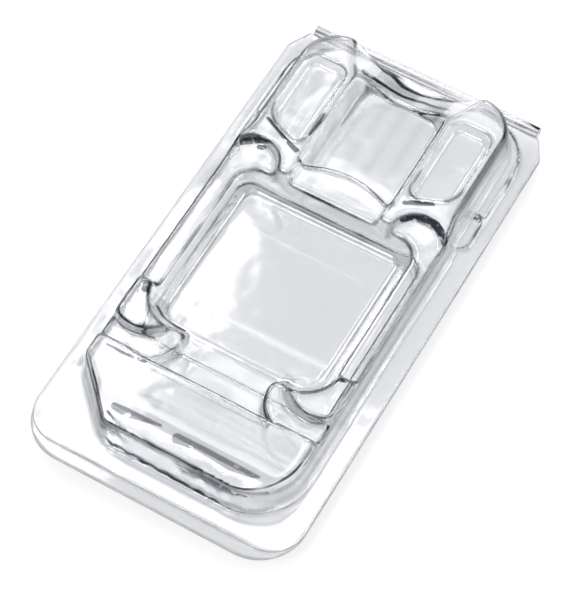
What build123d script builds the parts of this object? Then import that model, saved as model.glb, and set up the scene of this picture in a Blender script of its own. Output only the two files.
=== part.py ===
"""Clear clamshell case for one processor: a base tray and a domed lid joined by a bead hinge.

The case is formed from one plastic sheet, and the sizes of its formed surfaces are given on the
middle of that sheet. The origin is the middle of the case's footprint, on the surface it lies on.
X runs across the case, Y along it towards the hinge, and Z up.
"""

import os
from math import cos, radians, tan

from build123d import *

os.makedirs("parts", exist_ok=True)

# Sheet and fits
sheet = 0.45
flange_gap = 0.10
overrun = 2.0

# The processor that the case is made for
chip_width = 40.0
chip_clearance = 0.5

# Flanges
flange_width = 62.0
flange_near_y = -59.5
flange_near_radius = 7.5
flange_far_cut_x = 2.7
flange_far_cut_y = 5.0
flange_far_radius = 4.0
lid_setback = 2.8

# Hinge bead
hinge_far_y = 59.5
hinge_width = 55.0
bead_radius = 1.35

# Well of the base tray
well_depth = 3.8
well_draft = 6.0
well_radius = 3.0
well_y = -4.8

# Dome of the lid
crown_height = 9.1
crown_radius = 1.0
wall_draft = 7.5
dome_width = 52.4
dome_far_width = 50.6
dome_near_y = -51.6
dome_far_y = 55.6
dome_near_radius = 12.0
dome_key_cut = 11.5
dome_key_radius = 7.0
dome_far_radius = 9.5
waist_near_y = 19.0
waist_far_y = 26.0
waist_radius = 5.0

# Sloped shoulder at the opening end of the dome
shoulder_y = -46.0
shoulder_slope = 20.0

# Low plinth round the hinge end of the dome, with its stacking lugs
plinth_height = 1.1
plinth_width = 55.8
plinth_near_y = 22.5
plinth_far_y = 56.0
plinth_near_radius = 3.0
plinth_far_radius = 10.5
lug_x = 26.4
lug_y = 31.6
lug_radius = 0.9
lug_height = 0.8

# Pocket that presses on the processor
pocket_floor = 3.0
pocket_draft = 33.0
pocket_width = 36.6
pocket_near_y = -23.4
pocket_far_y = 13.3
pocket_near_radius = 5.0
pocket_far_radius = 2.5

# Bay in front of the pocket, between two finger lobes
bay_floor = 3.3
bay_draft = 4.0
bay_near_y = -34.6
lobe_x = 17.4
lobe_y = -27.8
lobe_radius = 7.3

# Finger ledges on the lobes, and the bosses that stand behind them
ledge_height = 7.1
ledge_draft = 14.0
ledge_near_y = -34.2
boss_x = 20.5
boss_y = -22.4
boss_radius = 8.0

# Low rails beside the pocket, ending in half moons
rail_height = 7.5
rail_draft = 12.0
rail_near_y = -19.0
rail_x = 19.0
moon_x = 19.6
moon_y = 16.2
moon_radius = 5.6

# Bridge between the pocket and the channel
bridge_height = 7.4
bridge_draft = 12.0
bridge_width = 20.6

# Pads either side of the channel
pad_height = 6.9
pad_draft = 20.0
pad_inner_x = 13.4
pad_outer_x = 21.6
pad_near_inner_y = 25.2
pad_near_outer_y = 28.6
pad_far_y = 46.0
pad_radius = 2.2

# Channel towards the hinge, with an arched end at the bridge
channel_floor = 3.2
channel_draft = 11.0
channel_width = 19.8
channel_near_y = 22.2
channel_far_y = 47.4
channel_radius = 3.2
arch_rise = 2.6

# Saddle in the rim at the far end of the channel, which falls away towards the hinge
saddle_radius = 20.0
saddle_height = 6.3
saddle_near_y = 48.0
saddle_slope = 28.0

# Levels of the sheet's middle above the surface that the case lies on
half_sheet = sheet / 2
base_level = half_sheet + well_depth
lid_level = base_level + sheet + flange_gap
hinge_level = (base_level + lid_level) / 2
hinge_y = hinge_far_y - bead_radius
flange_far_y = hinge_y - bead_radius
lid_near_y = flange_near_y + lid_setback
well_floor_width = chip_width + 2 * chip_clearance + sheet
well_top_width = well_floor_width + 2 * well_depth * tan(radians(well_draft))


def flange_plan(near_y, near_radius):
    """Flange outline: rounded corners at the opening end, cut corners at the hinge end."""
    half = flange_width / 2
    cut_x = half - flange_far_cut_x
    cut_y = flange_far_y - flange_far_cut_y
    with BuildSketch() as plan:
        with BuildLine():
            Polyline((-half, near_y), (half, near_y), (half, cut_y), (cut_x, flange_far_y),
                     (-cut_x, flange_far_y), (-half, cut_y), close=True)
        make_face()
        fillet(plan.vertices().group_by(Axis.Y)[0], near_radius)
        fillet(plan.vertices().group_by(Axis.Y)[-2], flange_far_radius)
    return plan.sketch


def dome_plan():
    """Foot of the dome: one near corner cut off as a key, a waist, a narrower hinge end."""
    half = dome_width / 2
    far_half = dome_far_width / 2
    with BuildSketch() as plan:
        with BuildLine():
            Polyline((0, dome_near_y), (half, dome_near_y), (half, waist_near_y), (far_half, waist_far_y),
                     (far_half, dome_far_y), (0, dome_far_y), close=True)
        make_face()
        mirror(about=Plane.YZ)
        fillet(plan.vertices().group_by(Axis.Y)[2], waist_radius)
        fillet(plan.vertices().group_by(Axis.Y)[1], waist_radius)
        chamfer(plan.vertices().group_by(Axis.Y)[0].sort_by(Axis.X)[0], dome_key_cut)
        near_corners = plan.vertices().filter_by_position(Axis.Y, dome_near_y, 0)
        fillet(near_corners.sort_by(Axis.X)[0:2], dome_key_radius)
        fillet(plan.vertices().group_by(Axis.Y)[0].sort_by(Axis.X)[-1], dome_near_radius)
        fillet(plan.vertices().group_by(Axis.Y)[-1], dome_far_radius)
    return plan.sketch


def plinth_plan():
    """Foot of the plinth: a rounded block under the hinge end of the dome."""
    half = plinth_width / 2
    with BuildSketch() as plan:
        with BuildLine():
            Polyline((-half, plinth_near_y), (half, plinth_near_y), (half, plinth_far_y),
                     (-half, plinth_far_y), close=True)
        make_face()
        fillet(plan.vertices().group_by(Axis.Y)[0], plinth_near_radius)
        fillet(plan.vertices().group_by(Axis.Y)[-1], plinth_far_radius)
    return plan.sketch


def pocket_plan():
    """Floor of the pocket: wide near corners for the fingers, tighter far corners."""
    half = pocket_width / 2
    with BuildSketch() as plan:
        with BuildLine():
            Polyline((-half, pocket_near_y), (half, pocket_near_y), (half, pocket_far_y),
                     (-half, pocket_far_y), close=True)
        make_face()
        fillet(plan.vertices().group_by(Axis.Y)[0], pocket_near_radius)
        fillet(plan.vertices().group_by(Axis.Y)[-1], pocket_far_radius)
    return plan.sketch


def bay_tool(grow):
    """Cutter for the bay: the strip in front of the pocket, with the two round lobes left standing."""
    floor_level = lid_level + bay_floor + grow
    length = pocket_near_y + lobe_radius - bay_near_y
    with BuildPart() as tool:
        with BuildSketch(Plane.XY.offset(floor_level)):
            with Locations((0, bay_near_y + length / 2)):
                Rectangle(2 * lobe_x - 2 * grow, length - 2 * grow)
        extrude(amount=crown_height, taper=-bay_draft)
        with BuildSketch(Plane.XY.offset(floor_level)):
            with Locations((-lobe_x, lobe_y), (lobe_x, lobe_y)):
                Circle(lobe_radius + grow)
        extrude(amount=crown_height, taper=bay_draft, mode=Mode.SUBTRACT)
    return tool.part


def ledge_tool(grow):
    """Cutter for the finger ledges: open to the sides, with the round bosses left standing."""
    floor_level = lid_level + ledge_height + grow
    inner = lobe_x - lobe_radius
    width = flange_width / 2 - inner
    length = boss_y - ledge_near_y
    with BuildPart() as tool:
        with BuildSketch(Plane.XY.offset(floor_level)):
            with Locations((inner + width / 2, ledge_near_y + length / 2)):
                Rectangle(width - 2 * grow, length - 2 * grow)
        extrude(amount=crown_height, taper=-ledge_draft)
        with BuildSketch(Plane.XY.offset(floor_level)):
            with Locations((boss_x, boss_y)):
                Circle(boss_radius + grow)
        extrude(amount=crown_height, taper=ledge_draft, mode=Mode.SUBTRACT)
        mirror(about=Plane.YZ)
    return tool.part


def rail_plan():
    """Rails: straight strips beside the pocket, open to the sides of the dome."""
    outer = flange_width / 2
    with BuildSketch() as plan:
        with BuildLine():
            Polyline((rail_x, rail_near_y), (outer, rail_near_y), (outer, moon_y), (rail_x, moon_y), close=True)
        make_face()
        mirror(about=Plane.YZ)
    return plan.sketch


def moon_plan():
    """Half moons: round ends of the rails."""
    with BuildSketch() as plan:
        with Locations((-moon_x, moon_y), (moon_x, moon_y)):
            Circle(moon_radius)
    return plan.sketch


def bridge_plan():
    """Bridge: the lowered strip of crown between the pocket and the channel."""
    with BuildSketch() as plan:
        with BuildLine():
            Polyline((-bridge_width / 2, pocket_far_y), (bridge_width / 2, pocket_far_y),
                     (bridge_width / 2, channel_near_y + arch_rise),
                     (-bridge_width / 2, channel_near_y + arch_rise), close=True)
        make_face()
    return plan.sketch


def pad_plan():
    """Pads: rounded panels whose near edges slant back towards the sides."""
    with BuildSketch() as plan:
        with BuildLine():
            Polyline((pad_inner_x, pad_near_inner_y), (pad_outer_x, pad_near_outer_y), (pad_outer_x, pad_far_y),
                     (pad_inner_x, pad_far_y), close=True)
        make_face()
        fillet(plan.vertices(), pad_radius)
        mirror(about=Plane.YZ)
    return plan.sketch


def channel_tool(grow):
    """Cutter for the channel: round far corners, and a near end that the bridge bows into."""
    floor_level = lid_level + channel_floor + grow
    half = channel_width / 2
    arch_radius = (half**2 + arch_rise**2) / (2 * arch_rise)
    with BuildPart() as tool:
        with BuildSketch(Plane.XY.offset(floor_level)) as floor:
            with BuildLine():
                Polyline((-half, channel_near_y), (half, channel_near_y), (half, channel_far_y),
                         (-half, channel_far_y), close=True)
            make_face()
            fillet(floor.vertices().group_by(Axis.Y)[-1], channel_radius)
            offset(amount=-grow)
        extrude(amount=crown_height, taper=-channel_draft)
        with BuildSketch(Plane.XY.offset(floor_level)):
            with Locations((0, channel_near_y + arch_rise - arch_radius)):
                Circle(arch_radius + grow)
        extrude(amount=crown_height, taper=channel_draft, mode=Mode.SUBTRACT)
    return tool.part


# Plan, height of the floor above the flange, and draft of each recess in the dome
recesses = [
    (pocket_plan(), pocket_floor, pocket_draft),
    (rail_plan(), rail_height, rail_draft),
    (moon_plan(), rail_height, rail_draft),
    (bridge_plan(), bridge_height, bridge_draft),
    (pad_plan(), pad_height, pad_draft),
]


def lid_form(grow):
    """Solid under one face of the lid's sheet, which lies grow outside the sheet's middle."""
    crown_level = lid_level + crown_height
    shoulder_drop = (shoulder_y - flange_near_y) * tan(radians(shoulder_slope))
    shoulder_lift = grow / cos(radians(shoulder_slope))
    saddle_level = lid_level + saddle_height + saddle_radius
    with BuildPart() as form:
        with BuildSketch(Plane.XY.offset(lid_level)):
            add(dome_plan())
            offset(amount=grow)
        extrude(amount=crown_height + grow, taper=wall_draft)
        fillet(form.edges().group_by(Axis.Z)[-1], crown_radius + grow)
        with BuildSketch(Plane.XY.offset(lid_level)):
            add(plinth_plan())
            offset(amount=grow)
        extrude(amount=plinth_height + grow, taper=wall_draft)
        with BuildSketch(Plane.XY.offset(lid_level)):
            with Locations((-lug_x, lug_y), (lug_x, lug_y)):
                Circle(lug_radius + grow)
        extrude(amount=plinth_height + lug_height + grow)
        for plan, floor, draft in recesses:
            with BuildSketch(Plane.XY.offset(lid_level + floor + grow)):
                add(plan)
                offset(amount=-grow)
            extrude(amount=crown_height, taper=-draft, mode=Mode.SUBTRACT)
        add(bay_tool(grow), mode=Mode.SUBTRACT)
        add(ledge_tool(grow), mode=Mode.SUBTRACT)
        add(channel_tool(grow), mode=Mode.SUBTRACT)
        with BuildSketch(Plane.YZ):
            with BuildLine():
                Polyline((shoulder_y, crown_level + shoulder_lift),
                         (flange_near_y, crown_level - shoulder_drop + shoulder_lift),
                         (flange_near_y, crown_level + overrun), (shoulder_y, crown_level + overrun), close=True)
            make_face()
        extrude(amount=flange_width, both=True, mode=Mode.SUBTRACT)
        saddle_start = Plane((0, saddle_near_y, saddle_level), x_dir=(1, 0, 0), z_dir=(0, 1, 0))
        with BuildSketch(saddle_start.rotated((-saddle_slope, 0, 0))):
            Circle(saddle_radius - grow)
        extrude(amount=hinge_far_y - channel_near_y, mode=Mode.SUBTRACT)
    return form.part


def base_form(grow):
    """Solid above one face of the base's well, which lies grow outside the sheet's middle."""
    with BuildPart() as form:
        with BuildSketch(Plane.XY.offset(base_level)):
            with Locations((0, well_y)):
                RectangleRounded(well_top_width + 2 * grow, well_top_width + 2 * grow, well_radius + grow)
        extrude(amount=-well_depth - grow, taper=well_draft)
    return form.part


lid_outside = lid_form(half_sheet)
lid_inside = lid_form(-half_sheet)
base_outside = base_form(half_sheet)
base_inside = base_form(-half_sheet)

# Domed lid
with BuildPart() as lid:
    with BuildSketch(Plane.XY.offset(lid_level - half_sheet)):
        add(flange_plan(lid_near_y, flange_near_radius))
    extrude(amount=sheet)
    add(lid_outside)
    add(lid_inside, mode=Mode.SUBTRACT)
    extrude(lid_inside.faces().group_by(Axis.Z)[0], amount=sheet, mode=Mode.SUBTRACT)
lid.part.label = "lid"

# Base tray
with BuildPart() as base_tray:
    with BuildSketch(Plane.XY.offset(base_level - half_sheet)):
        add(flange_plan(flange_near_y, flange_near_radius + lid_setback))
    extrude(amount=sheet)
    add(base_outside)
    add(base_inside, mode=Mode.SUBTRACT)
    extrude(base_inside.faces().group_by(Axis.Z)[-1], amount=sheet, mode=Mode.SUBTRACT)
base_tray.part.label = "base_tray"

# Hinge strip: a bead bent from the sheet, with a leg to each flange
leg_height = lid_level - base_level + sheet
with BuildPart() as hinge_strip:
    with BuildSketch(Plane.YZ.offset(-hinge_width / 2)):
        with Locations((hinge_y, hinge_level)):
            Circle(bead_radius)
            Rectangle(bead_radius, leg_height, align=(Align.MAX, Align.CENTER))
            Circle(bead_radius - sheet, mode=Mode.SUBTRACT)
            Rectangle(bead_radius, flange_gap, align=(Align.MAX, Align.CENTER), mode=Mode.SUBTRACT)
    extrude(amount=hinge_width)
hinge_strip.part.label = "hinge_strip"

for piece in (lid, base_tray, hinge_strip):
    export_step(piece.part, f"parts/{piece.part.label}.step")
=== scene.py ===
"""Clear clamshell case for one processor, thermoformed from one glossy sheet, on a white studio floor."""

from math import atan2, cos, radians, sin, sqrt, tan

import bpy
import numpy as np
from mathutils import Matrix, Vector


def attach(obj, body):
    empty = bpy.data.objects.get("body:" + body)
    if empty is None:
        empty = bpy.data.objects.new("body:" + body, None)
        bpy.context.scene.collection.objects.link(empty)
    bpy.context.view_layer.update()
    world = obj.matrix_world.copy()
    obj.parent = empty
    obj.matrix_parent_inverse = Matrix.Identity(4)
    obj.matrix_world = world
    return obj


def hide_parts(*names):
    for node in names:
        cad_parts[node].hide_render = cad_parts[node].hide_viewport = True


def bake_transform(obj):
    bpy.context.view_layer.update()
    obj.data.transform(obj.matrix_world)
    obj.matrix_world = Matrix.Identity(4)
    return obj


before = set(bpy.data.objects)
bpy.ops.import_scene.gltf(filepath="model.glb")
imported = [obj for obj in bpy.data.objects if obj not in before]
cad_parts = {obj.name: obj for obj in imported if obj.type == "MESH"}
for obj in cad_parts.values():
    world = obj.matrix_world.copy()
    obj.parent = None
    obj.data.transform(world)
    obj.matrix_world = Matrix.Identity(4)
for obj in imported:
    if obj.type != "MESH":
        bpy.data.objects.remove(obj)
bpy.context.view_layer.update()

# Sizes are in millimetres on the middle of the sheet, as on the part's drawing, and meshes are in metres
MM = 0.001

# Sheet and its rounded bends
SHEET = 0.45
HALF = SHEET / 2
CROWN_ROUND = 1.0
RIM_ROUND = 0.8
FLOOR_ROUND = 0.9
FOOT_ROUND = 0.8
FOLD_ROUND = 0.5
CUT_EDGE_TURNS = np.radians((45.0, 0.0, -45.0))

# Flanges
FLANGE_WIDTH = 62.0
FLANGE_NEAR_Y = -59.5
FLANGE_NEAR_RADIUS = 7.5
FLANGE_FAR_Y = 56.8
FLANGE_CUT_X = 2.7
FLANGE_CUT_Y = 5.0
FLANGE_CUT_RADIUS = 4.0
LID_SETBACK = 2.8
LID_NEAR_Y = FLANGE_NEAR_Y + LID_SETBACK
BASE_LEVEL = 4.025
LID_LEVEL = 4.575

# Hinge bead, and the half height in which it turns from one flange to the other
HINGE_WIDTH = 55.0
HINGE_Y = 58.15
HINGE_LEVEL = (BASE_LEVEL + LID_LEVEL) / 2
BEAD_RADIUS = 1.35

# Well of the base tray
WELL_Y = -4.8
WELL_WIDTH = 42.25
WELL_DEPTH = 3.8
WELL_RADIUS = 3.0
WELL_DRAFT = radians(6.0)

# Dome of the lid
CROWN = 9.1
WALL_DRAFT = radians(7.5)
DOME_WIDTH = 52.4
DOME_FAR_WIDTH = 50.6
DOME_NEAR_Y = -51.6
DOME_FAR_Y = 55.6
DOME_NEAR_RADIUS = 12.0
DOME_KEY_CUT = 11.5
DOME_KEY_TURN = radians(45.0)
DOME_KEY_RADIUS = 7.0
DOME_FAR_RADIUS = 9.5
WAIST_NEAR_Y = 19.0
WAIST_FAR_Y = 26.0
SHOULDER_Y = -46.0
SHOULDER_SLOPE = radians(20.0)

# Plinth and stacking lugs
PLINTH = 1.1
PLINTH_WIDTH = 55.8
PLINTH_NEAR_Y = 22.5
PLINTH_FAR_Y = 56.0
PLINTH_NEAR_RADIUS = 3.0
PLINTH_FAR_RADIUS = 10.5
LUG_X = 26.4
LUG_Y = 31.6
LUG_RADIUS = 0.9
LUG = 0.8

# Pocket, bay and finger lobes
POCKET_FLOOR = 3.0
POCKET_DRAFT = radians(33.0)
POCKET_WIDTH = 36.6
POCKET_NEAR_Y = -23.4
POCKET_FAR_Y = 13.3
POCKET_NEAR_RADIUS = 5.0
POCKET_FAR_RADIUS = 2.5
BAY_FLOOR = 3.3
BAY_DRAFT = radians(4.0)
BAY_NEAR_Y = -34.6
LOBE_X = 17.4
LOBE_Y = -27.8
LOBE_RADIUS = 7.3
LEDGE = 7.1
LEDGE_DRAFT = radians(14.0)
LEDGE_NEAR_Y = -34.2
BOSS_X = 20.5
BOSS_Y = -22.4
BOSS_RADIUS = 8.0

# Rails, half moons and bridge
RAIL = 7.5
RAIL_DRAFT = radians(12.0)
RAIL_NEAR_Y = -19.0
RAIL_X = 19.0
MOON_X = 19.6
MOON_Y = 16.2
MOON_RADIUS = 5.6
BRIDGE = 7.4
BRIDGE_DRAFT = radians(12.0)
BRIDGE_WIDTH = 20.6

# Pads, channel and saddle
PAD = 6.9
PAD_DRAFT = radians(20.0)
PAD_INNER_X = 13.4
PAD_OUTER_X = 21.6
PAD_NEAR_INNER_Y = 25.2
PAD_NEAR_OUTER_Y = 28.6
PAD_FAR_Y = 46.0
PAD_RADIUS = 2.2
CHANNEL_FLOOR = 3.2
CHANNEL_DRAFT = radians(11.0)
CHANNEL_WIDTH = 19.8
CHANNEL_NEAR_Y = 22.2
CHANNEL_FAR_Y = 47.4
CHANNEL_RADIUS = 3.2
ARCH_RISE = 2.6
SADDLE_RADIUS = 20.0
SADDLE_FLOOR = 6.3
SADDLE_NEAR_Y = 48.0
SADDLE_SLOPE = radians(28.0)

# Meshes: columns and rows of the two sheets, steps of the hinge, and how the grids settle
LID_GRID = (152, 304)
BASE_GRID = (100, 200)
BEAD_STEPS = 60
LEG_STEPS = 9
HINGE_COLUMNS = 12
HINGE_ROUNDINGS = 3
HALVINGS = 32
SLOPE_STEP = 0.01
BEND_STEP = 0.3
STEEP_PITCH = 0.15
STEEP_BLURS = 3
OUTLINE_STEPS = 12
SETTLE_STEPS = 150
SETTLE_RATE = 0.7

# Tints and finish of the sheet; the second tint is the dark one that painted shade and painted dark
# reflections blend towards
CLEAR_TINT = (0.966, 0.971, 0.984)
PAINTED_SHADE_TINT = (0.04, 0.048, 0.06)
FROST_TINT = (0.9, 0.91, 0.93)
SHADOW_TINT = (0.77, 0.775, 0.785)
SHEET_ROUGHNESS = 0.05
SHEET_INDEX = 1.57
PATCH_SCALE = 110.0
SPECK_SCALE = 700.0
WAVE_SCALE = 160.0
WAVE_STRENGTH = 0.1
WAVE_DEPTH = 0.0004
# Share of painted shade on upright walls
UPRIGHT_PAINTED_SHADE = 0.2
# Share of painted grey reflection in the half strokes
HALF_STROKE_PAINTED_SHADE = 0.68

# Painted dark reflections at rims and creases, and white haze, that soft patches vary: least share, and the
# share that a patch adds
RIM_SHARES = (0.55, 0.45)
CREASE_SHARES = (0.12, 0.35)
HAZE_SHARES = (0.6, 0.4)

# Steps of the finish, from and to: by tilt, by bend, by noise and by depth in a stroke
TILT_START = (0.06, 0.18)
TILT_END = (0.26, 0.45)
UPRIGHT_TILT = (0.3, 0.8)
OUTWARD_BEND = (-0.1, 0.1)
PATCH_EDGE = (0.38, 0.62)
SPECK_EDGE = (0.73, 0.76)
FULL_STROKE_EDGE = (0.88, 1.2)
HALF_STROKE_EDGE = (0.85, 1.25)

# Haze of the cut edge, and white haze painted as a highlight on the channel's left wall and the near slope's
# lip
CUT_EDGE_HAZE = 0.6
CHANNEL_WALL_HIGHLIGHT_HAZE = 0.5
LIP_HIGHLIGHT_HAZE = 0.8

# Painted shade on patches, as shares of the darkest tint; less than 0 takes painted shade away
BOSS_PAINTED_SHADE = 0.25
LEDGE_PAINTED_SHADE = 0.35
PAD_PAINTED_SHADE = -0.35
SADDLE_END_PAINTED_SHADE = -0.8
CHANNEL_WALL_PAINTED_SHADE = -0.5
CHANNEL_BAND_PAINTED_SHADE = 0.05
NEAR_PANEL_CLOUD_SHADE = 0.4
PLINTH_PAINTED_SHADE = 0.05
FLANGE_PAINTED_SHADE = 0.02
FLANGE_FAR_PAINTED_SHADE = 0.04
BASE_LIP_PAINTED_SHADE = 0.33

# Painted dark reflections on lines of the lid: share of the darkest tint, place across the line, and width
MOON_LINE = (0.35, 0.5, 0.8)
RIDGE_LINE = (0.5, -0.6, 0.45)
FAR_RIM_LINE = (0.7, -1.4, 0.45)
LEFT_RIM_LINE = (0.6, -1.3, 0.3)
RIGHT_RIM_LINE = (0.3, -1.3, 0.3)
NEAR_FOOT_LINE = (0.4, 0.9, 0.6)
NEAR_CLOUD_LINE = (0.7, 5.2, 1.0)
NEAR_TOP_LINE = (0.6, 7.0, 0.5)
RIGHT_UPPER_LINE = (0.35, 6.6, 0.7)
RIGHT_LOWER_LINE = (0.25, 3.0, 0.8)

# Spans of those lines and patches: from, to, and softness of both ends
RIDGE_SPAN_X = (-9.5, 9.0, 3.0)
FAR_RIM_SPAN_Y = (26.0, 50.0, 8.0)
RIM_SPAN_Y = (-38.0, 60.0, 4.0)
CLOUD_SPANS_X = ((-18.0, -9.0, 4.0), (3.0, 15.0, 4.0))
RIGHT_WALL_SPAN_Y = (-50.0, 20.0, 4.0)
BOSS_SPAN = (-0.8, 2.0, 0.6)
PAD_SPAN_X = (12.0, 23.0, 1.0)
PAD_SPAN_Y = (32.0, 50.0, 2.0)
SADDLE_END_SPAN_X = (9.0, 15.0, 1.0)
SADDLE_END_SPAN_Y = (49.0, 57.0, 1.0)
CHANNEL_WALL_SPAN_X = (-12.0, -9.0, 1.0)
CHANNEL_WALL_SPAN_Y = (26.0, 48.0, 2.0)
CHANNEL_SPAN_X = (-9.5, 9.5, 1.0)
CHANNEL_SPAN_Y = (25.0, 47.0, 3.0)
PLINTH_SPAN_Y = (28.0, 58.0, 8.0)
HAZE_SPAN_X = (-11.5, -7.0, 2.0)
HAZE_SPAN_Y = (25.0, 48.0, 3.0)
HAZE_TOP = 8.5
LIP_SPAN_X = (-12.0, 17.0, 3.0)
LIP_EDGE_Y = -48.8
LIP_SOFT = 0.5

# Painted dark cloud of reflection on the near panel: middle and width along x and y
NEAR_PANEL_CLOUD_X = (-7.0, 4.0)
NEAR_PANEL_CLOUD_Y = (-42.8, 1.1)

# Painted dark reflections along the foot of the near wall, as a line, and as a lens above it
NEAR_WALL_REACH = 4.0
FOOT_X = 1.0
FOOT_HALF_LENGTH = 14.0
FOOT_HALF_WIDTH = 0.45
FOOT_HEIGHT = 1.2
FOOT_START_X = -12.0
FOOT_FALL = 0.05
FOOT_WOBBLE = 0.2
LENS_X = 11.5
LENS_HEIGHT = 5.8
LENS_HALF_WIDTH = 0.9
LENS_TAPER = 0.1

# Strokes of painted dark reflection on the lid, each along points of x, y and half width
FULL_STROKES = (
    # Left pad's near and inner edges, and a fleck in the half moon beside it
    ((-21.8, 27.0, 0.40), (-17.8, 25.2, 0.50), (-15.2, 23.9, 0.50), (-12.4, 22.8, 0.70)),
    ((-12.0, 27.8, 0.40), (-11.9, 31.6, 0.50), (-12.0, 34.0, 0.35)),
    ((-20.2, 20.6, 0.60), (-19.2, 20.9, 0.60)),
    # Far fall and near brow of the saddle
    ((-12.0, 54.6, 0.30), (-8.6, 54.1, 0.35), (-6.7, 54.9, 0.55),
     (-3.3, 53.4, 0.60), (1.8, 53.6, 0.35), (5.7, 54.6, 0.30)),
    ((-10.7, 49.3, 0.75), (-6.4, 50.1, 0.50), (-1.6, 50.2, 0.45), (3.0, 51.2, 0.45), (9.6, 50.5, 0.30)),
    # Lip of the near slope
    ((-14.4, -48.7, 0.35), (-12.0, -49.6, 0.30), (-9.4, -50.1, 0.35)),
    ((-5.9, -49.8, 0.25), (-2.9, -50.2, 0.35), (2.1, -50.1, 0.30), (7.2, -50.2, 0.40)),
    # Right pad's near edge, and the brow of the half moon beside it
    ((13.4, 22.7, 0.55), (15.8, 24.0, 0.65), (18.8, 25.3, 0.45)),
    ((14.5, 19.0, 0.25), (16.2, 20.9, 0.45), (18.4, 21.8, 0.40)),
    # Near panel's far edge, the slit at the pocket's left corner, and the right rail's near end
    ((-22.3, -36.4, 0.25), (-17.8, -36.4, 0.45), (-13.1, -36.1, 0.30)),
    ((-19.0, -22.6, 0.30), (-17.0, -23.7, 0.40), (-14.5, -23.6, 0.50), (-12.2, -23.5, 0.40)),
    ((20.8, -20.6, 0.45), (23.2, -20.0, 0.45)),
)
# Half strokes: painted grey reflections, lighter than the full ones
HALF_STROKES = (
    # Left half moon
    ((-23.7, 19.9, 0.80), (-23.0, 20.9, 1.10), (-22.0, 21.6, 1.00), (-20.1, 22.2, 0.55), (-18.5, 22.2, 0.25)),
    # Two streaks across the near slope
    ((-13.6, -47.3, 0.80), (-10.6, -47.3, 0.95), (-6.5, -46.9, 0.60), (-3.2, -46.5, 0.30)),
    ((0.8, -47.3, 1.05), (5.6, -46.9, 0.75), (13.1, -47.2, 0.95), (17.7, -46.9, 0.60), (19.3, -46.6, 0.25)),
    # Channel's left edge, the left rail's near end, and the right half moon
    ((-9.2, 36.5, 0.30), (-9.1, 43.3, 0.60), (-8.6, 46.6, 0.70)),
    ((-23.0, -20.1, 0.80), (-22.3, -21.7, 0.80)),
    ((17.0, 21.0, 0.50), (20.0, 21.6, 0.85), (21.8, 21.2, 0.90), (24.2, 19.5, 0.40)),
)
LEDGE_BAND = (
    (-23.2, -29.6, 0.60), (-21.2, -30.4, 1.10), (-19.5, -30.6, 1.30),
    (-16.9, -29.5, 1.20), (-14.3, -27.4, 0.80),
)

# Camera at the photograph's view, with its focal length and image height in pixels
VIEW_AZIMUTH = radians(29.92)
VIEW_ELEVATION = radians(59.66)
VIEW_DISTANCE = 0.4952
VIEW_TARGET = Vector((0.00166, -0.00492, 0.0048))
SENSOR = 36.0
FOCAL_PIXELS = 2400
IMAGE_PIXELS = 600

# Studio, in metres
FLOOR_HALF = 3.0
FLOOR_WHITE = (0.8, 0.8, 0.8)
FLOOR_GLOW = 0.47
WORLD_TINT = (0.02, 0.02, 0.021)
PANEL_HEIGHT = 0.9

# Lamps that aim at the case: place, width, height and brightness
LAMPS = {
    "key": ((0.55, -0.75, 1.1), 1.0, 1.0, 2.0),
    "left_lamp": ((-0.90, 0.53, 0.60), 0.35, 0.35, 7.0),
    "right_lamp": ((0.84, 0.53, 0.67), 0.35, 0.35, 7.0),
    "far_lamp": ((-0.30, 1.02, 0.55), 0.35, 0.35, 7.0),
    "near_lamp": ((-0.30, -0.60, 1.00), 0.35, 0.35, 7.0),
    "side_panel": ((1.30, 0.65, 0.20), 0.9, 0.4, 4.0),
}

# Level panels that the case mirrors: ends along x, ends along y, brightness, drop and turn
PANELS = {
    "left_panel": (-0.35, -0.30, 0.10, 0.49, 6.0, 0.0, 0.0),
    "near_panel": (-0.35, 0.05, 0.10, 0.31, 3.0, 0.02, 0.0),
    "lip_panel": (-0.30, -0.17, -0.37, -0.262, 4.5, 0.0, 0.0),
    "middle_panel": (-0.30, -0.20, 0.31, 0.36, 0.8, 0.0, 0.0),
    "bay_panel": (-0.28, -0.19, 0.36, 0.392, 3.0, 0.01, 0.0),
    "right_panel": (-0.19, 0.05, 0.31, 0.40, 4.0, 0.0, 0.0),
    "far_panel": (-0.29, 0.1, 0.40, 0.85, 1.0, 0.0, 0.0),
    "pocket_panel": (-0.340, -0.290, 0.385, 0.475, 5.0, 0.03, radians(21.0)),
    "far_left_panel": (-0.345, -0.29, 0.50, 0.70, 1.0, 0.0, 0.0),
    "band_panel": (-0.345, -0.19, 0.508, 0.540, 3.5, 0.02, 0.0),
    "channel_panel": (-0.312, -0.285, 0.556, 0.62, 3.0, 0.02, 0.0),
}


def round_max(a, b, radius):
    """Distance to what two solids share: the larger of their distances, with the edge rounded to a radius."""
    corner = np.hypot(np.maximum(radius + a, 0), np.maximum(radius + b, 0))
    return np.minimum(-radius, np.maximum(a, b)) + corner


def round_min(a, b, radius):
    """Distance to two solids joined: the smaller of their distances, with the crease filled to a radius."""
    return -round_max(-a, -b, radius)


def corner_round(radius, turn):
    """Radius for round_max that gives a true radius where an outline turns by less than a right angle."""
    return radius * (1 - cos(turn / 2)) / (1 - sqrt(0.5))


def strip(v, low, high):
    """Distance past the ends of a strip, negative between them."""
    return np.maximum(low - v, v - high)


def ease(v, low, high):
    """Smooth step from 0 to 1 as v goes from low to high: 3t squared less 2t cubed of its way t."""
    t = np.clip((v - low) / (high - low), 0, 1)
    return t * t * (3 - 2 * t)


def between(v, low, high, soft):
    """1 between two ends and 0 outside them, with soft ends."""
    return ease(v, low - soft / 2, low + soft / 2) * (1 - ease(v, high - soft / 2, high + soft / 2))


def bell(v, middle, width):
    """Bell curve: 1 at the middle, falling to nothing a few widths away."""
    return np.exp(-((v - middle) / width) ** 2)


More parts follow.
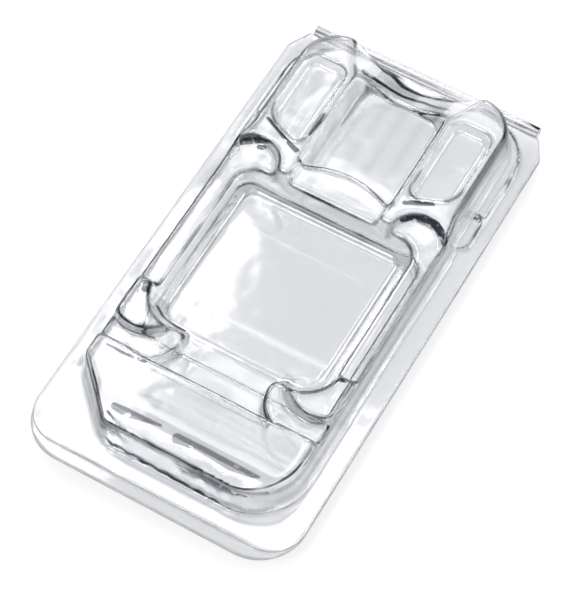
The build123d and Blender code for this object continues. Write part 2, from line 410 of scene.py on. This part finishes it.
def line(v, share, middle, width):
    """Smoke on a line: its share at the middle, falling off on both sides as a bell curve."""
    return share * bell(v, middle, width)


def slant(x, y, x0, y0, x1, y1):
    """Distance to the right of the line from the first point to the second."""
    length = sqrt((x1 - x0) ** 2 + (y1 - y0) ** 2)
    return ((x - x0) * (y1 - y0) - (y - y0) * (x1 - x0)) / length


def disc(x, y, middle_x, middle_y, radius):
    """Distance outside a circle."""
    return np.hypot(x - middle_x, y - middle_y) - radius


def block(plan, h, height, draft, radius):
    """Distance to a raised block: walls that lean in by the draft as they rise, and a rounded top edge."""
    return round_max((plan + h * tan(draft)) * cos(draft), h - height, radius)


def hollow(plan, h, floor, draft, radius):
    """Distance to the air of a recess: walls that lean out by the draft as they rise from a round edge."""
    return round_max((plan - (h - floor) * tan(draft)) * cos(draft), floor - h, radius)


def island(plan, h, floor, draft):
    """Distance to what stands in a recess, leaning in by the draft as it rises from the floor."""
    return (plan + (h - floor) * tan(draft)) * cos(draft)


def flange_plan(x, y, near_y, near_radius):
    """Distance outside the flange's outline: a rectangle with round near corners and cut far corners."""
    half = FLANGE_WIDTH / 2
    side = np.abs(x)
    box = round_max(side - half, strip(y, near_y, FLANGE_FAR_Y), np.where(y < 0, near_radius, 0))
    cut = slant(side, y, half, FLANGE_FAR_Y - FLANGE_CUT_Y, half - FLANGE_CUT_X, FLANGE_FAR_Y)
    return round_max(box, cut, corner_round(FLANGE_CUT_RADIUS, atan2(FLANGE_CUT_X, FLANGE_CUT_Y)))


def lid_plan(x, y):
    """Distance outside the lid's flange, which is set back at the opening end."""
    return flange_plan(x, y, LID_NEAR_Y, FLANGE_NEAR_RADIUS)


def base_plan(x, y):
    """Distance outside the base tray's flange."""
    return flange_plan(x, y, FLANGE_NEAR_Y, FLANGE_NEAR_RADIUS + LID_SETBACK)


def dome_plan(x, y):
    """Distance outside the dome's foot: one near corner cut off as a key, and a waist to a narrow far end."""
    half = (DOME_WIDTH + (DOME_FAR_WIDTH - DOME_WIDTH) * ease(y, WAIST_NEAR_Y, WAIST_FAR_Y)) / 2
    corner = np.where(y > 0, DOME_FAR_RADIUS, np.where(x < 0, 0, DOME_NEAR_RADIUS))
    box = round_max(np.abs(x) - half, strip(y, DOME_NEAR_Y, DOME_FAR_Y), corner)
    left = -DOME_WIDTH / 2
    key_cut = slant(x, y, left, DOME_NEAR_Y + DOME_KEY_CUT, left + DOME_KEY_CUT, DOME_NEAR_Y)
    return round_max(box, key_cut, corner_round(DOME_KEY_RADIUS, DOME_KEY_TURN))


def lid_field(x, y):
    """Distance above the lid's sheet, as a function of the height h over the flange.

    The dome and plinth are drafted blocks, and the recesses are taken out of them one after the other.
    Every bend is a rounded maximum or minimum of two distances.
    """
    side = np.abs(x)
    dome = dome_plan(x, y)
    corner = np.where(y < (PLINTH_NEAR_Y + PLINTH_FAR_Y) / 2, PLINTH_NEAR_RADIUS, PLINTH_FAR_RADIUS)
    plinth = round_max(side - PLINTH_WIDTH / 2, strip(y, PLINTH_NEAR_Y, PLINTH_FAR_Y), corner)
    lug = disc(side, y, LUG_X, LUG_Y, LUG_RADIUS)
    corner = np.where(y < 0, POCKET_NEAR_RADIUS, POCKET_FAR_RADIUS)
    pocket = round_max(side - POCKET_WIDTH / 2, strip(y, POCKET_NEAR_Y, POCKET_FAR_Y), corner)
    bay = np.maximum(side - LOBE_X, strip(y, BAY_NEAR_Y, POCKET_NEAR_Y + LOBE_RADIUS))
    lobe = disc(side, y, LOBE_X, LOBE_Y, LOBE_RADIUS)
    ledge = np.maximum(LOBE_X - LOBE_RADIUS - side, strip(y, LEDGE_NEAR_Y, BOSS_Y))
    boss = disc(side, y, BOSS_X, BOSS_Y, BOSS_RADIUS)
    rail = np.maximum(RAIL_X - side, strip(y, RAIL_NEAR_Y, MOON_Y))
    rail = np.minimum(rail, disc(side, y, MOON_X, MOON_Y, MOON_RADIUS))
    bridge = np.maximum(side - BRIDGE_WIDTH / 2, strip(y, POCKET_FAR_Y, CHANNEL_NEAR_Y + ARCH_RISE))
    pad = round_max(strip(side, PAD_INNER_X, PAD_OUTER_X), y - PAD_FAR_Y, PAD_RADIUS)
    near_edge = slant(side, y, PAD_INNER_X, PAD_NEAR_INNER_Y, PAD_OUTER_X, PAD_NEAR_OUTER_Y)
    pad = round_max(pad, near_edge, PAD_RADIUS)
    half_channel = CHANNEL_WIDTH / 2
    corner = np.where(y < (CHANNEL_NEAR_Y + CHANNEL_FAR_Y) / 2, 0, CHANNEL_RADIUS)
    channel = round_max(side - half_channel, strip(y, CHANNEL_NEAR_Y, CHANNEL_FAR_Y), corner)
    arch_radius = (half_channel**2 + ARCH_RISE**2) / (2 * ARCH_RISE)
    arch = disc(x, y, 0, CHANNEL_NEAR_Y + ARCH_RISE - arch_radius, arch_radius)
    saddle_axis = SADDLE_FLOOR + SADDLE_RADIUS

    def distance(h):
        form = block(dome, h, CROWN, WALL_DRAFT, CROWN_ROUND)
        shoulder = (h - CROWN + (SHOULDER_Y - y) * tan(SHOULDER_SLOPE)) * cos(SHOULDER_SLOPE)
        form = round_max(form, shoulder, FOLD_ROUND)
        form = round_min(form, block(plinth, h, PLINTH, WALL_DRAFT, LUG / 2), FOOT_ROUND)
        form = round_min(form, block(lug, h, PLINTH + LUG, WALL_DRAFT, LUG / 2), LUG / 2)
        bay_air = hollow(bay, h, BAY_FLOOR, BAY_DRAFT, FLOOR_ROUND)
        bay_air = round_max(bay_air, -island(lobe, h, BAY_FLOOR, BAY_DRAFT), FLOOR_ROUND)
        ledge_air = hollow(ledge, h, LEDGE, LEDGE_DRAFT, FLOOR_ROUND)
        ledge_air = round_max(ledge_air, -island(boss, h, LEDGE, LEDGE_DRAFT), FLOOR_ROUND)
        channel_air = hollow(channel, h, CHANNEL_FLOOR, CHANNEL_DRAFT, FLOOR_ROUND)
        channel_air = round_max(channel_air, -island(arch, h, CHANNEL_FLOOR, CHANNEL_DRAFT), FLOOR_ROUND)
        saddle_drop = (y - SADDLE_NEAR_Y) * tan(SADDLE_SLOPE)
        saddle_air = np.hypot(x, (h - saddle_axis + saddle_drop) * cos(SADDLE_SLOPE)) - SADDLE_RADIUS
        recesses = (
            hollow(pocket, h, POCKET_FLOOR, POCKET_DRAFT, FLOOR_ROUND),
            hollow(rail, h, RAIL, RAIL_DRAFT, FLOOR_ROUND),
            hollow(bridge, h, BRIDGE, BRIDGE_DRAFT, FLOOR_ROUND),
            hollow(pad, h, PAD, PAD_DRAFT, FLOOR_ROUND),
            bay_air, ledge_air, channel_air, saddle_air,
        )
        for air in recesses:
            form = round_max(form, -air, RIM_ROUND)
        return round_min(form, h, FOOT_ROUND)

    return distance


def base_field(x, y):
    """Distance above the base tray's sheet, as a function of the height h over its flange."""
    well = round_max(np.abs(x) - WELL_WIDTH / 2, np.abs(y - WELL_Y) - WELL_WIDTH / 2, WELL_RADIUS)

    def distance(h):
        return round_max(h, -hollow(well, h, -WELL_DEPTH, WELL_DRAFT, FLOOR_ROUND), RIM_ROUND)

    return distance


def rise(field, x, y):
    """Height of the sheet at each place: where its distance is zero, found by halving the interval."""
    distance = field(x, y)
    low = np.full_like(x, -WELL_DEPTH - SHEET)
    high = np.full_like(x, CROWN + SHEET)
    for _ in range(HALVINGS):
        middle = (low + high) / 2
        above = distance(middle) > 0
        low = np.where(above, low, middle)
        high = np.where(above, middle, high)
    return (low + high) / 2


def facing(field, x, y, h):
    """Unit normal of the sheet: the slope of its distance along each axis."""
    step = SLOPE_STEP
    normal = np.stack((
        field(x + step, y)(h) - field(x - step, y)(h),
        field(x, y + step)(h) - field(x, y - step)(h),
        field(x, y)(h + step) - field(x, y)(h - step),
    ), axis=-1)
    return normal / np.linalg.norm(normal, axis=-1, keepdims=True)


def bending(field, x, y, h):
    """How sharply the sheet bends at each place, per millimetre: the sum of its distance's second slopes."""
    step = BEND_STEP
    six = (field(x + step, y)(h) + field(x - step, y)(h) + field(x, y + step)(h) + field(x, y - step)(h)
           + field(x, y)(h + step) + field(x, y)(h - step))
    return (six - 6 * field(x, y)(h)) / step**2


def brush(x, y, points):
    """Depth inside a stroke along points of x, y and half width: that width less the distance to its line."""
    depth = np.full_like(x, -FLANGE_WIDTH)
    for (x0, y0, r0), (x1, y1, r1) in zip(points, points[1:]):
        dx, dy = x1 - x0, y1 - y0
        run = np.clip(((x - x0) * dx + (y - y0) * dy) / (dx**2 + dy**2), 0, 1)
        depth = np.maximum(depth, r0 + run * (r1 - r0) - np.hypot(x - x0 - run * dx, y - y0 - run * dy))
    return depth


def ripple(x):
    """Uneven wave along the near wall, in millimetres: two sines of different lengths added."""
    return 0.5 * np.sin(0.9 * x) + 0.3 * np.sin(2.3 * x + 1)


def rim_painted_shade(x, y, upright):
    """Painted dark reflections on the lid's rims: the half moons' walls, the saddle's brow and the crown's
    edge.
    """
    dome = dome_plan(x, y)
    moon = disc(np.abs(x), y, MOON_X, MOON_Y, MOON_RADIUS)
    ridge = y - SADDLE_NEAR_Y - 0.25 * np.sin(0.8 * x)
    moons = line(moon, *MOON_LINE) * (y > MOON_Y - 1) * ease(-dome, 1.5, 2.3) * upright
    brow = line(ridge, *RIDGE_LINE) * between(x, *RIDGE_SPAN_X)
    far_edge = line(dome, *FAR_RIM_LINE) * (x > 0) * between(y, *FAR_RIM_SPAN_Y)
    edge = np.where(x < 0, line(dome, *LEFT_RIM_LINE), line(dome, *RIGHT_RIM_LINE)) * between(y, *RIM_SPAN_Y)
    return moons + brow + far_edge + edge


def wall_painted_shade(x, y, h, normal):
    """Painted dark reflections on the dome's near and right walls: level lines, and two clouds with soft
    ends.
    """
    near_wall = ease(-normal[..., 1], 0.5, 0.8) * (y < DOME_NEAR_Y + NEAR_WALL_REACH)
    right_wall = ease(normal[..., 0], 0.5, 0.8) * (dome_plan(x, y) > -2.2)
    wave = ripple(x)
    clouds = line(h - wave, *NEAR_CLOUD_LINE) * sum(between(x, *span) for span in CLOUD_SPANS_X)
    near = line(h - wave / 2, *NEAR_FOOT_LINE) + clouds + line(h, *NEAR_TOP_LINE)
    right = (line(h, *RIGHT_UPPER_LINE) + line(h, *RIGHT_LOWER_LINE)) * between(y, *RIGHT_WALL_SPAN_Y)
    return near_wall * near + right_wall * right


def patch_painted_shade(x, y, upright):
    """Painted shade on patches with soft ends, taken away where it is less than 0: ledges, pads, saddle,
    channel, near panel, plinth and flange.
    """
    side = np.abs(x)
    boss = disc(side, y, BOSS_X, BOSS_Y, BOSS_RADIUS)
    right_ledge = (y < BOSS_Y + 1) * (x > 0) * (x < RAIL_X + 5)
    channel_bands = CHANNEL_BAND_PAINTED_SHADE * (1 + np.sin(1.4 * x))
    flange = FLANGE_PAINTED_SHADE + FLANGE_FAR_PAINTED_SHADE * ease(y, -40, 30)
    return sum((
        BOSS_PAINTED_SHADE * between(boss, *BOSS_SPAN) * right_ledge,
        LEDGE_PAINTED_SHADE * ease(brush(x, y, LEDGE_BAND), -0.25, 0.25),
        PAD_PAINTED_SHADE * between(side, *PAD_SPAN_X) * between(y, *PAD_SPAN_Y),
        SADDLE_END_PAINTED_SHADE * between(side, *SADDLE_END_SPAN_X) * between(y, *SADDLE_END_SPAN_Y),
        CHANNEL_WALL_PAINTED_SHADE * upright * between(x, *CHANNEL_WALL_SPAN_X) * between(y, *CHANNEL_WALL_SPAN_Y),
        channel_bands * between(x, *CHANNEL_SPAN_X) * between(y, *CHANNEL_SPAN_Y),
        NEAR_PANEL_CLOUD_SHADE * bell(x, *NEAR_PANEL_CLOUD_X) * bell(y, *NEAR_PANEL_CLOUD_Y),
        PLINTH_PAINTED_SHADE * ease(x, 26, 28) * between(y, *PLINTH_SPAN_Y),
        flange * ease(dome_plan(x, y), 0, 1),
    ))


def lid_accent(x, y, h, normal):
    """How much painted shade and painted dark reflection the lid takes at its rims, walls and patches; less
    than 0 is clearer.
    """
    upright = ease(1 - normal[..., 2], 0.1, 0.5)
    return np.clip(rim_painted_shade(x, y, upright) + wall_painted_shade(x, y, h, normal) + patch_painted_shade(x, y, upright), -1, 1)


def lid_stroke(x, y, h, normal):
    """Depth inside the lid's full strokes of painted dark reflection: the brushed ones, and a foot line and a
    lens on its near wall.

    The depth is 1 at a stroke's edge and 0 a millimetre or more outside it.
    """
    off_wall = 2 * np.maximum(0, 0.6 + normal[..., 1]) + np.maximum(0, y - DOME_NEAR_Y - NEAR_WALL_REACH)
    foot_line = FOOT_HEIGHT - FOOT_FALL * (x - FOOT_START_X) + FOOT_WOBBLE * np.sin(1.7 * x)
    foot_end = np.maximum(0, np.abs(x - FOOT_X) - FOOT_HALF_LENGTH) / 2
    foot = FOOT_HALF_WIDTH + FOOT_WOBBLE * ripple(x) - np.abs(h - foot_line) - off_wall - foot_end
    lens = LENS_HALF_WIDTH - LENS_TAPER * np.abs(x - LENS_X) - np.abs(h - LENS_HEIGHT) - off_wall
    brushed = [brush(x, y, points) for points in FULL_STROKES]
    return np.maximum(1 + np.max([foot, lens, *brushed], axis=0), 0)


def lid_shade(x, y, h, normal):
    """Depth inside the lid's half strokes of painted grey reflection: 1 at a stroke's edge, as in the full
    ones.
    """
    return np.maximum(1 + np.max([brush(x, y, points) for points in HALF_STROKES], axis=0), 0)


def lid_highlight_haze(x, y, h, normal):
    """White haze painted as a highlight on the lid: the channel's left wall and the near slope's lip."""
    wall = between(x, *HAZE_SPAN_X) * between(y, *HAZE_SPAN_Y) * (h < HAZE_TOP)
    slope = ease(-normal[..., 1], 0.25, 0.32) * ease(normal[..., 2], 0.85, 0.90)
    lip_edge = LIP_EDGE_Y + 0.3 * np.sin(0.9 * x)
    lip = slope * (1 - ease(y - lip_edge, -LIP_SOFT / 2, LIP_SOFT / 2)) * between(x, *LIP_SPAN_X)
    return CHANNEL_WALL_HIGHLIGHT_HAZE * wall + LIP_HIGHLIGHT_HAZE * lip


def base_accent(x, y, h, normal):
    """Painted shade on the base: only on the lip that the lid leaves uncovered at the opening end."""
    return BASE_LIP_PAINTED_SHADE * ease(lid_plan(x, y), -0.2, 0.2) * (y < 0)


def double(w):
    """A grid with a new line halfway between each two lines."""
    fine = np.empty((2 * w.shape[0] - 1, 2 * w.shape[1] - 1))
    fine[::2, ::2] = w
    fine[1::2, ::2] = (w[1:] + w[:-1]) / 2
    fine[:, 1::2] = (fine[:, 2::2] + fine[:, :-1:2]) / 2
    return fine


def on_outline(plan, x, y):
    """Places moved onto an outline, half a sheet inside it, in steps along the slope of its distance."""
    step = SLOPE_STEP
    for _ in range(OUTLINE_STEPS):
        miss = plan(x, y) + HALF
        slope_x = (plan(x + step, y) - plan(x - step, y)) / (2 * step)
        slope_y = (plan(x, y + step) - plan(x, y - step)) / (2 * step)
        x, y = x - miss * slope_x, y - miss * slope_y
    return x, y


def crowded_grid(field, plan, near_y, columns, rows):
    """Places on a grid over an outline, with its lines crowded where the sheet is steep.

    Each place settles at the mean of its four neighbours, weighted by the steepness between them,
    on a coarse grid first and then on finer ones. The grid's edge is held on the outline.
    """
    half = FLANGE_WIDTH / 2
    pitch = STEEP_PITCH
    x_line = np.arange(-half, half + pitch, pitch)
    y_line = np.arange(near_y, FLANGE_FAR_Y + pitch, pitch)
    x_map, y_map = np.meshgrid(x_line, y_line)
    slope_y, slope_x = np.gradient(rise(field, x_map, y_map), pitch)
    steep = np.sqrt(1 + slope_x**2 + slope_y**2)
    for _ in range(STEEP_BLURS):
        edged = np.pad(steep, 1, mode="edge")
        steep = (edged[:-2, 1:-1] + edged[2:, 1:-1] + edged[1:-1, :-2] + edged[1:-1, 2:] + steep) / 5
    x = y = None
    for level in (4, 2, 1):
        nx, ny = columns // level + 1, rows // level + 1
        u, v = np.meshgrid(np.linspace(-half, half, nx), np.linspace(near_y, FLANGE_FAR_Y, ny))
        if x is None:
            x, y = u.copy(), v.copy()
        else:
            x, y = double(x), double(y)
        edge = np.zeros_like(u, bool)
        edge[[0, -1], :] = True
        edge[:, [0, -1]] = True
        x[edge], y[edge] = on_outline(plan, u[edge], v[edge])
        for _ in range(SETTLE_STEPS * level):
            i = np.clip(((x + half) / pitch + 0.5).astype(int), 0, steep.shape[1] - 1)
            j = np.clip(((y - near_y) / pitch + 0.5).astype(int), 0, steep.shape[0] - 1)
            weight = steep[j, i]
            across = weight[1:-1, 1:] + weight[1:-1, :-1]
            along = weight[1:, 1:-1] + weight[:-1, 1:-1]
            total = across[:, 1:] + across[:, :-1] + along[1:] + along[:-1]
            for w in (x, y):
                mean = (across[:, 1:] * w[1:-1, 2:] + across[:, :-1] * w[1:-1, :-2]
                        + along[1:] * w[2:, 1:-1] + along[:-1] * w[:-2, 1:-1]) / total
                w[1:-1, 1:-1] += SETTLE_RATE * (mean - w[1:-1, 1:-1])
    return x, y


def put_mesh(name, points, quads, marks):
    """An object of smooth quads, from points in millimetres, with named values on its points."""
    mesh = bpy.data.meshes.new(name)
    mesh.vertices.add(len(points))
    mesh.vertices.foreach_set("co", (points * MM).astype(np.float32).ravel())
    mesh.loops.add(quads.size)
    mesh.loops.foreach_set("vertex_index", quads.astype(np.int32).ravel())
    mesh.polygons.add(len(quads))
    mesh.polygons.foreach_set("loop_start", np.arange(0, quads.size, 4, dtype=np.int32))
    mesh.polygons.foreach_set("use_smooth", np.ones(len(quads), bool))
    for mark, values in marks.items():
        layer = mesh.attributes.new(mark, "FLOAT", "POINT")
        layer.data.foreach_set("value", values.astype(np.float32))
    mesh.update()
    mesh.validate()
    piece = bpy.data.objects.new(name, mesh)
    bpy.context.scene.collection.objects.link(piece)
    return piece


def shell(name, middle, normal, looks):
    """A sheet of even thickness: two skins half a sheet either side of the middle, joined by a round rim.

    Its points carry how upright the sheet stands, and the looks that are given for its middle.
    """
    rows, columns = middle.shape[:2]
    number = np.arange(rows * columns).reshape(rows, columns)
    corners = (number[:-1, :-1], number[:-1, 1:], number[1:, 1:], number[1:, :-1])
    skin = np.stack(corners, axis=-1).reshape(-1, 4)
    loop = np.concatenate((number[0, :-1], number[:-1, -1], number[-1, :0:-1], number[:0:-1, 0]))
    middle = middle.reshape(-1, 3)
    normal = normal.reshape(-1, 3)
    along = np.roll(middle[loop], -1, axis=0) - np.roll(middle[loop], 1, axis=0)
    out = np.cross(along, normal[loop])
    out /= np.linalg.norm(out, axis=1, keepdims=True)
    rim = [middle[loop] + HALF * (sin(turn) * normal[loop] + cos(turn) * out) for turn in CUT_EDGE_TURNS]
    points = np.concatenate([middle + HALF * normal, middle - HALF * normal, *rim])
    count = len(middle)
    rim_rings = [2 * count + k * len(loop) + np.arange(len(loop)) for k in range(len(rim))]
    rings = [loop, *rim_rings, loop + count]
    quads = [skin, skin[:, ::-1] + count]
    for upper, lower in zip(rings, rings[1:]):
        quads.append(np.stack((upper, lower, np.roll(lower, -1), np.roll(upper, -1)), axis=-1))
    cut_edge = np.zeros(len(rim) * len(loop))
    looks = {"wall": 1 - np.abs(normal[:, 2]), **{look: values.ravel() for look, values in looks.items()}}
    marks = {look: np.concatenate((values, values, cut_edge)) for look, values in looks.items()}
    haze = looks.get("frost", np.zeros(count))
    marks["frost"] = np.concatenate((haze, np.zeros(count), cut_edge + CUT_EDGE_HAZE))
    return put_mesh(name, points, np.concatenate(quads), marks)


def formed_sheet(name, field, looks, plan, near_y, level, grid):
    """A formed sheet over an outline, from its field and its looks' functions, with its flange at a level."""
    x, y = crowded_grid(field, plan, near_y, *grid)
    h = rise(field, x, y)
    normal = facing(field, x, y, h)
    middle = np.stack((x, y, h + level), axis=-1)
    values = {look: function(x, y, h, normal) for look, function in looks.items()}
    return shell(name, middle, normal, {"bend": bending(field, x, y, h), **values})


def hinge_bead():
    """The hinge: a sheet bent round a bead between two short legs, carried across the case.

    Its line is a leg, a circle and a leg, with the two bends between them rounded by averaging.
    """
    ring = BEAD_RADIUS - HALF
    offset = LID_LEVEL - HINGE_LEVEL
    start = np.arcsin(offset / ring)
    turn = np.linspace(np.pi - start, start - np.pi, BEAD_STEPS)
    leg_y = np.linspace(FLANGE_FAR_Y, HINGE_Y + ring * cos(np.pi - start), LEG_STEPS, endpoint=False)
    leg_z = np.full_like(leg_y, offset)
    y = np.concatenate((leg_y, HINGE_Y + ring * np.cos(turn), leg_y[::-1]))
    z = HINGE_LEVEL + np.concatenate((leg_z, ring * np.sin(turn), -leg_z))
    for _ in range(HINGE_ROUNDINGS):
        for w in (y, z):
            w[1:-1] = (w[:-2] + 2 * w[1:-1] + w[2:]) / 4
    x = np.linspace(-HINGE_WIDTH / 2 + HALF, HINGE_WIDTH / 2 - HALF, HINGE_COLUMNS)
    dy, dz = np.gradient(y), np.gradient(z)
    length = np.hypot(dy, dz)
    x_grid, y_grid = np.meshgrid(x, y)
    z_grid, normal_y, normal_z = (np.meshgrid(x, w)[1] for w in (z, -dz / length, dy / length))
    middle = np.stack((x_grid, y_grid, z_grid), axis=-1)
    normal = np.stack((np.zeros_like(x_grid), normal_y, normal_z), axis=-1)
    return shell("hinge", middle, normal, {})


class Wire:
    """A shader value: wraps a socket, and adds Math nodes when it is used in an expression."""

    def __init__(self, tree, socket):
        self.tree, self.socket = tree, socket

    def math(self, operation, a, b):
        return node(self.tree, "ShaderNodeMath", {"operation": operation}, {0: a, 1: b})

    def __add__(self, other):
        return self.math("ADD", self, other)

    def __sub__(self, other):
        return self.math("SUBTRACT", self, other)

    def __rsub__(self, other):
        return self.math("SUBTRACT", other, self)

    def __mul__(self, other):
        return self.math("MULTIPLY", self, other)

    __radd__, __rmul__ = __add__, __mul__

    def at_most(self, limit):
        return self.math("MINIMUM", self, limit)


def node(tree, kind, settings=None, inputs=None, output=0):
    """Adds a node with its settings and the values or links of its sockets, and gives one of its outputs."""
    made = tree.nodes.new(kind)
    for key, value in (settings or {}).items():
        setattr(made, key, value)
    for key, value in (inputs or {}).items():
        if isinstance(value, Wire):
            tree.links.new(value.socket, made.inputs[key])
        else:
            made.inputs[key].default_value = value
    return Wire(tree, made.outputs[output])


def new_material(name):
    """An empty node material with its output node."""
    material = bpy.data.materials.new(name)
    material.use_nodes = True
    tree = material.node_tree
    tree.nodes.clear()
    return material, tree, tree.nodes.new("ShaderNodeOutputMaterial")


def noise(tree, place, scale, detail):
    """Smooth noise from 0 to 1, with its patches about one over the scale across, in metres."""
    return node(tree, "ShaderNodeTexNoise", {}, {"Vector": place, "Scale": scale, "Detail": detail})


def ramp(tree, value, low, high):
    """Smooth step from 0 to 1 as a value passes from low to high."""
    inputs = {"Value": value, "From Min": low, "From Max": high}
    return node(tree, "ShaderNodeMapRange", {"interpolation_type": "SMOOTHSTEP"}, inputs)


def blend_colour(tree, share, first, second):
    """A colour part of the way from the first to the second."""
    return node(tree, "ShaderNodeMix", {"data_type": "RGBA"}, {0: share, 6: (*first, 1), 7: (*second, 1)}, 2)


def light_path(tree, *rays):
    """1 for light on one of the named paths, else 0: the sum of the paths, at most 1."""
    first, *others = (node(tree, "ShaderNodeLightPath", output=f"Is {ray} Ray") for ray in rays)
    return sum(others, first).at_most(1.0)


def mark(tree, look):
    """A value that the mesh carries on its points."""
    return node(tree, "ShaderNodeAttribute", {"attribute_name": look}, output="Fac")


def patchy(patches, least, added):
    """A share that soft patches vary, from the least to the least and what they add."""
    return least + added * patches


def sheet_painted_shade(tree, place, patches):
    """How much painted shade darkens the sheet, at most 1: painted dark reflections at its rims and creases,
    painted shade on its upright walls, and its painted accents and strokes.

    A rim or a crease is where the sheet is tilted half way, and the way it bends tells them apart.
    """
    wall = mark(tree, "wall")
    half_way = ramp(tree, wall, *TILT_START) - ramp(tree, wall, *TILT_END)
    outward = ramp(tree, mark(tree, "bend"), *OUTWARD_BEND)
    rim = half_way * outward * patchy(patches, *RIM_SHARES)
    crease = half_way * (1 - outward) * patchy(patches, *CREASE_SHARES)
    upright = ramp(tree, wall, *UPRIGHT_TILT) * UPRIGHT_PAINTED_SHADE
    specks = ramp(tree, noise(tree, place, SPECK_SCALE, 0.0), *SPECK_EDGE)
    full = ramp(tree, mark(tree, "stroke"), *FULL_STROKE_EDGE)
    half = ramp(tree, mark(tree, "shade"), *HALF_STROKE_EDGE) * HALF_STROKE_PAINTED_SHADE
    strokes = (full + half) * (1 - specks)
    return (rim + crease + upright + mark(tree, "accent") + strokes).at_most(1.0)


def clear_sheet():
    """Clear glossy sheet, its tint darkened by painted shade and painted dark reflections where it bends and
    stands upright, with forming waves, a frosted cut edge and white haze as a painted highlight.

    Light on its way to a lamp passes straight through, so that the floor keeps a soft shadow.
    """
    material, tree, out = new_material("clear_sheet")
    place = node(tree, "ShaderNodeTexCoord", output="Object")
    patches = ramp(tree, noise(tree, place, PATCH_SCALE, 2.0), *PATCH_EDGE)
    # The sheet's tint is darkened towards the dark tint by its painted shade and painted dark reflections
    tint = blend_colour(tree, sheet_painted_shade(tree, place, patches), CLEAR_TINT, PAINTED_SHADE_TINT)
    waves = noise(tree, place, WAVE_SCALE, 1.0)
    waviness = {"Strength": WAVE_STRENGTH, "Distance": WAVE_DEPTH, "Height": waves}
    bump = node(tree, "ShaderNodeBump", {}, waviness)
    body = node(tree, "ShaderNodeBsdfPrincipled", {}, {
        "Base Color": tint, "Roughness": SHEET_ROUGHNESS, "IOR": SHEET_INDEX, "Transmission Weight": 1.0,
        "Normal": bump,
    })
    # Frost of the cut edge, and white haze painted as a highlight on the lid
    haze = mark(tree, "frost") * patchy(patches, *HAZE_SHARES)
    frosted = node(tree, "ShaderNodeBsdfDiffuse", {}, {"Color": (*FROST_TINT, 1)})
    faced = node(tree, "ShaderNodeMixShader", {}, {0: haze, 1: body, 2: frosted})
    clear = node(tree, "ShaderNodeBsdfTransparent", {}, {"Color": (*SHADOW_TINT, 1)})
    passing = light_path(tree, "Shadow", "Diffuse")
    mixed = node(tree, "ShaderNodeMixShader", {}, {0: passing, 1: faced, 2: clear})
    tree.links.new(mixed.socket, out.inputs["Surface"])
    return material


def white_floor():
    """White floor: it takes the case's shadow, and glows to the eye and through the clear sheet."""
    material, tree, out = new_material("white_floor")
    lit = node(tree, "ShaderNodeBsdfDiffuse", {}, {"Color": (*FLOOR_WHITE, 1)})
    seen = light_path(tree, "Camera", "Glossy", "Transmission")
    glow = node(tree, "ShaderNodeEmission", {}, {"Color": (1, 1, 1, 1), "Strength": seen * FLOOR_GLOW})
    both = node(tree, "ShaderNodeAddShader", {}, {0: lit, 1: glow})
    tree.links.new(both.socket, out.inputs["Surface"])
    return material


def dress(piece, material):
    """Gives a piece its one material."""
    piece.data.materials.clear()
    piece.data.materials.append(material)


def softbox(name, place, aim, width, height, brightness):
    """A rectangular area lamp at a place, aimed at a point, with a brightness that white shows as 1."""
    lamp = bpy.data.lights.new(name, "AREA")
    lamp.shape = "RECTANGLE"
    lamp.size = width
    lamp.size_y = height
    lamp.energy = brightness * width * height * np.pi
    holder = bpy.data.objects.new(name, lamp)
    bpy.context.scene.collection.objects.link(holder)
    holder.location = place
    holder.rotation_euler = (Vector(aim) - Vector(place)).to_track_quat("-Z", "Y").to_euler()
    return holder


def ceiling_panel(name, x0, x1, y0, y1, brightness, drop, turn):
    """A softbox that hangs level over the table, faces straight down, and is lowered by a drop and turned."""
    x, y = (x0 + x1) / 2, (y0 + y1) / 2
    panel = softbox(name, (x, y, PANEL_HEIGHT - drop), (x, y, 0), x1 - x0, y1 - y0, brightness)
    panel.rotation_euler.z += turn


# Pieces
lid_looks = {"accent": lid_accent, "stroke": lid_stroke, "shade": lid_shade, "frost": lid_highlight_haze}
base_looks = {"accent": base_accent}
lid = formed_sheet("lid_sheet", lid_field, lid_looks, lid_plan, LID_NEAR_Y, LID_LEVEL, LID_GRID)
base = formed_sheet("base_sheet", base_field, base_looks, base_plan, FLANGE_NEAR_Y, BASE_LEVEL, BASE_GRID)
hinge = hinge_bead()
sheet_finish = clear_sheet()
for piece, node_name in ((lid, "lid"), (base, "base_tray"), (hinge, "hinge_strip")):
    dress(piece, sheet_finish)
    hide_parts(node_name)
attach(lid, "lid")
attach(base, "base")
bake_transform(hinge)

# Floor
floor_corners = [(x * FLOOR_HALF, y * FLOOR_HALF, 0) for x, y in ((-1, -1), (1, -1), (1, 1), (-1, 1))]
floor_mesh = bpy.data.meshes.new("floor")
floor_mesh.from_pydata(floor_corners, [], [(0, 1, 2, 3)])
floor = bpy.data.objects.new("floor", floor_mesh)
bpy.context.scene.collection.objects.link(floor)
dress(floor, white_floor())

# Camera
reach = cos(VIEW_ELEVATION)
back = Vector((sin(VIEW_AZIMUTH) * reach, -cos(VIEW_AZIMUTH) * reach, sin(VIEW_ELEVATION)))
camera = bpy.data.cameras.new("camera")
camera.sensor_fit = "AUTO"
camera.sensor_width = SENSOR
camera.lens = FOCAL_PIXELS / IMAGE_PIXELS * SENSOR
eye = bpy.data.objects.new("camera", camera)
bpy.context.scene.collection.objects.link(eye)
eye.location = VIEW_TARGET + back * VIEW_DISTANCE
eye.rotation_euler = back.to_track_quat("Z", "Y").to_euler()
bpy.context.scene.camera = eye

# Light
for name, (place, width, height, brightness) in LAMPS.items():
    softbox(name, place, (0, 0, 0), width, height, brightness)
for name, panel in PANELS.items():
    ceiling_panel(name, *panel)
world = bpy.data.worlds.new("studio")
bpy.context.scene.world = world
world.use_nodes = True
world.node_tree.nodes["Background"].inputs["Color"].default_value = (*WORLD_TINT, 1)
bpy.context.scene.view_settings.view_transform = "Standard"
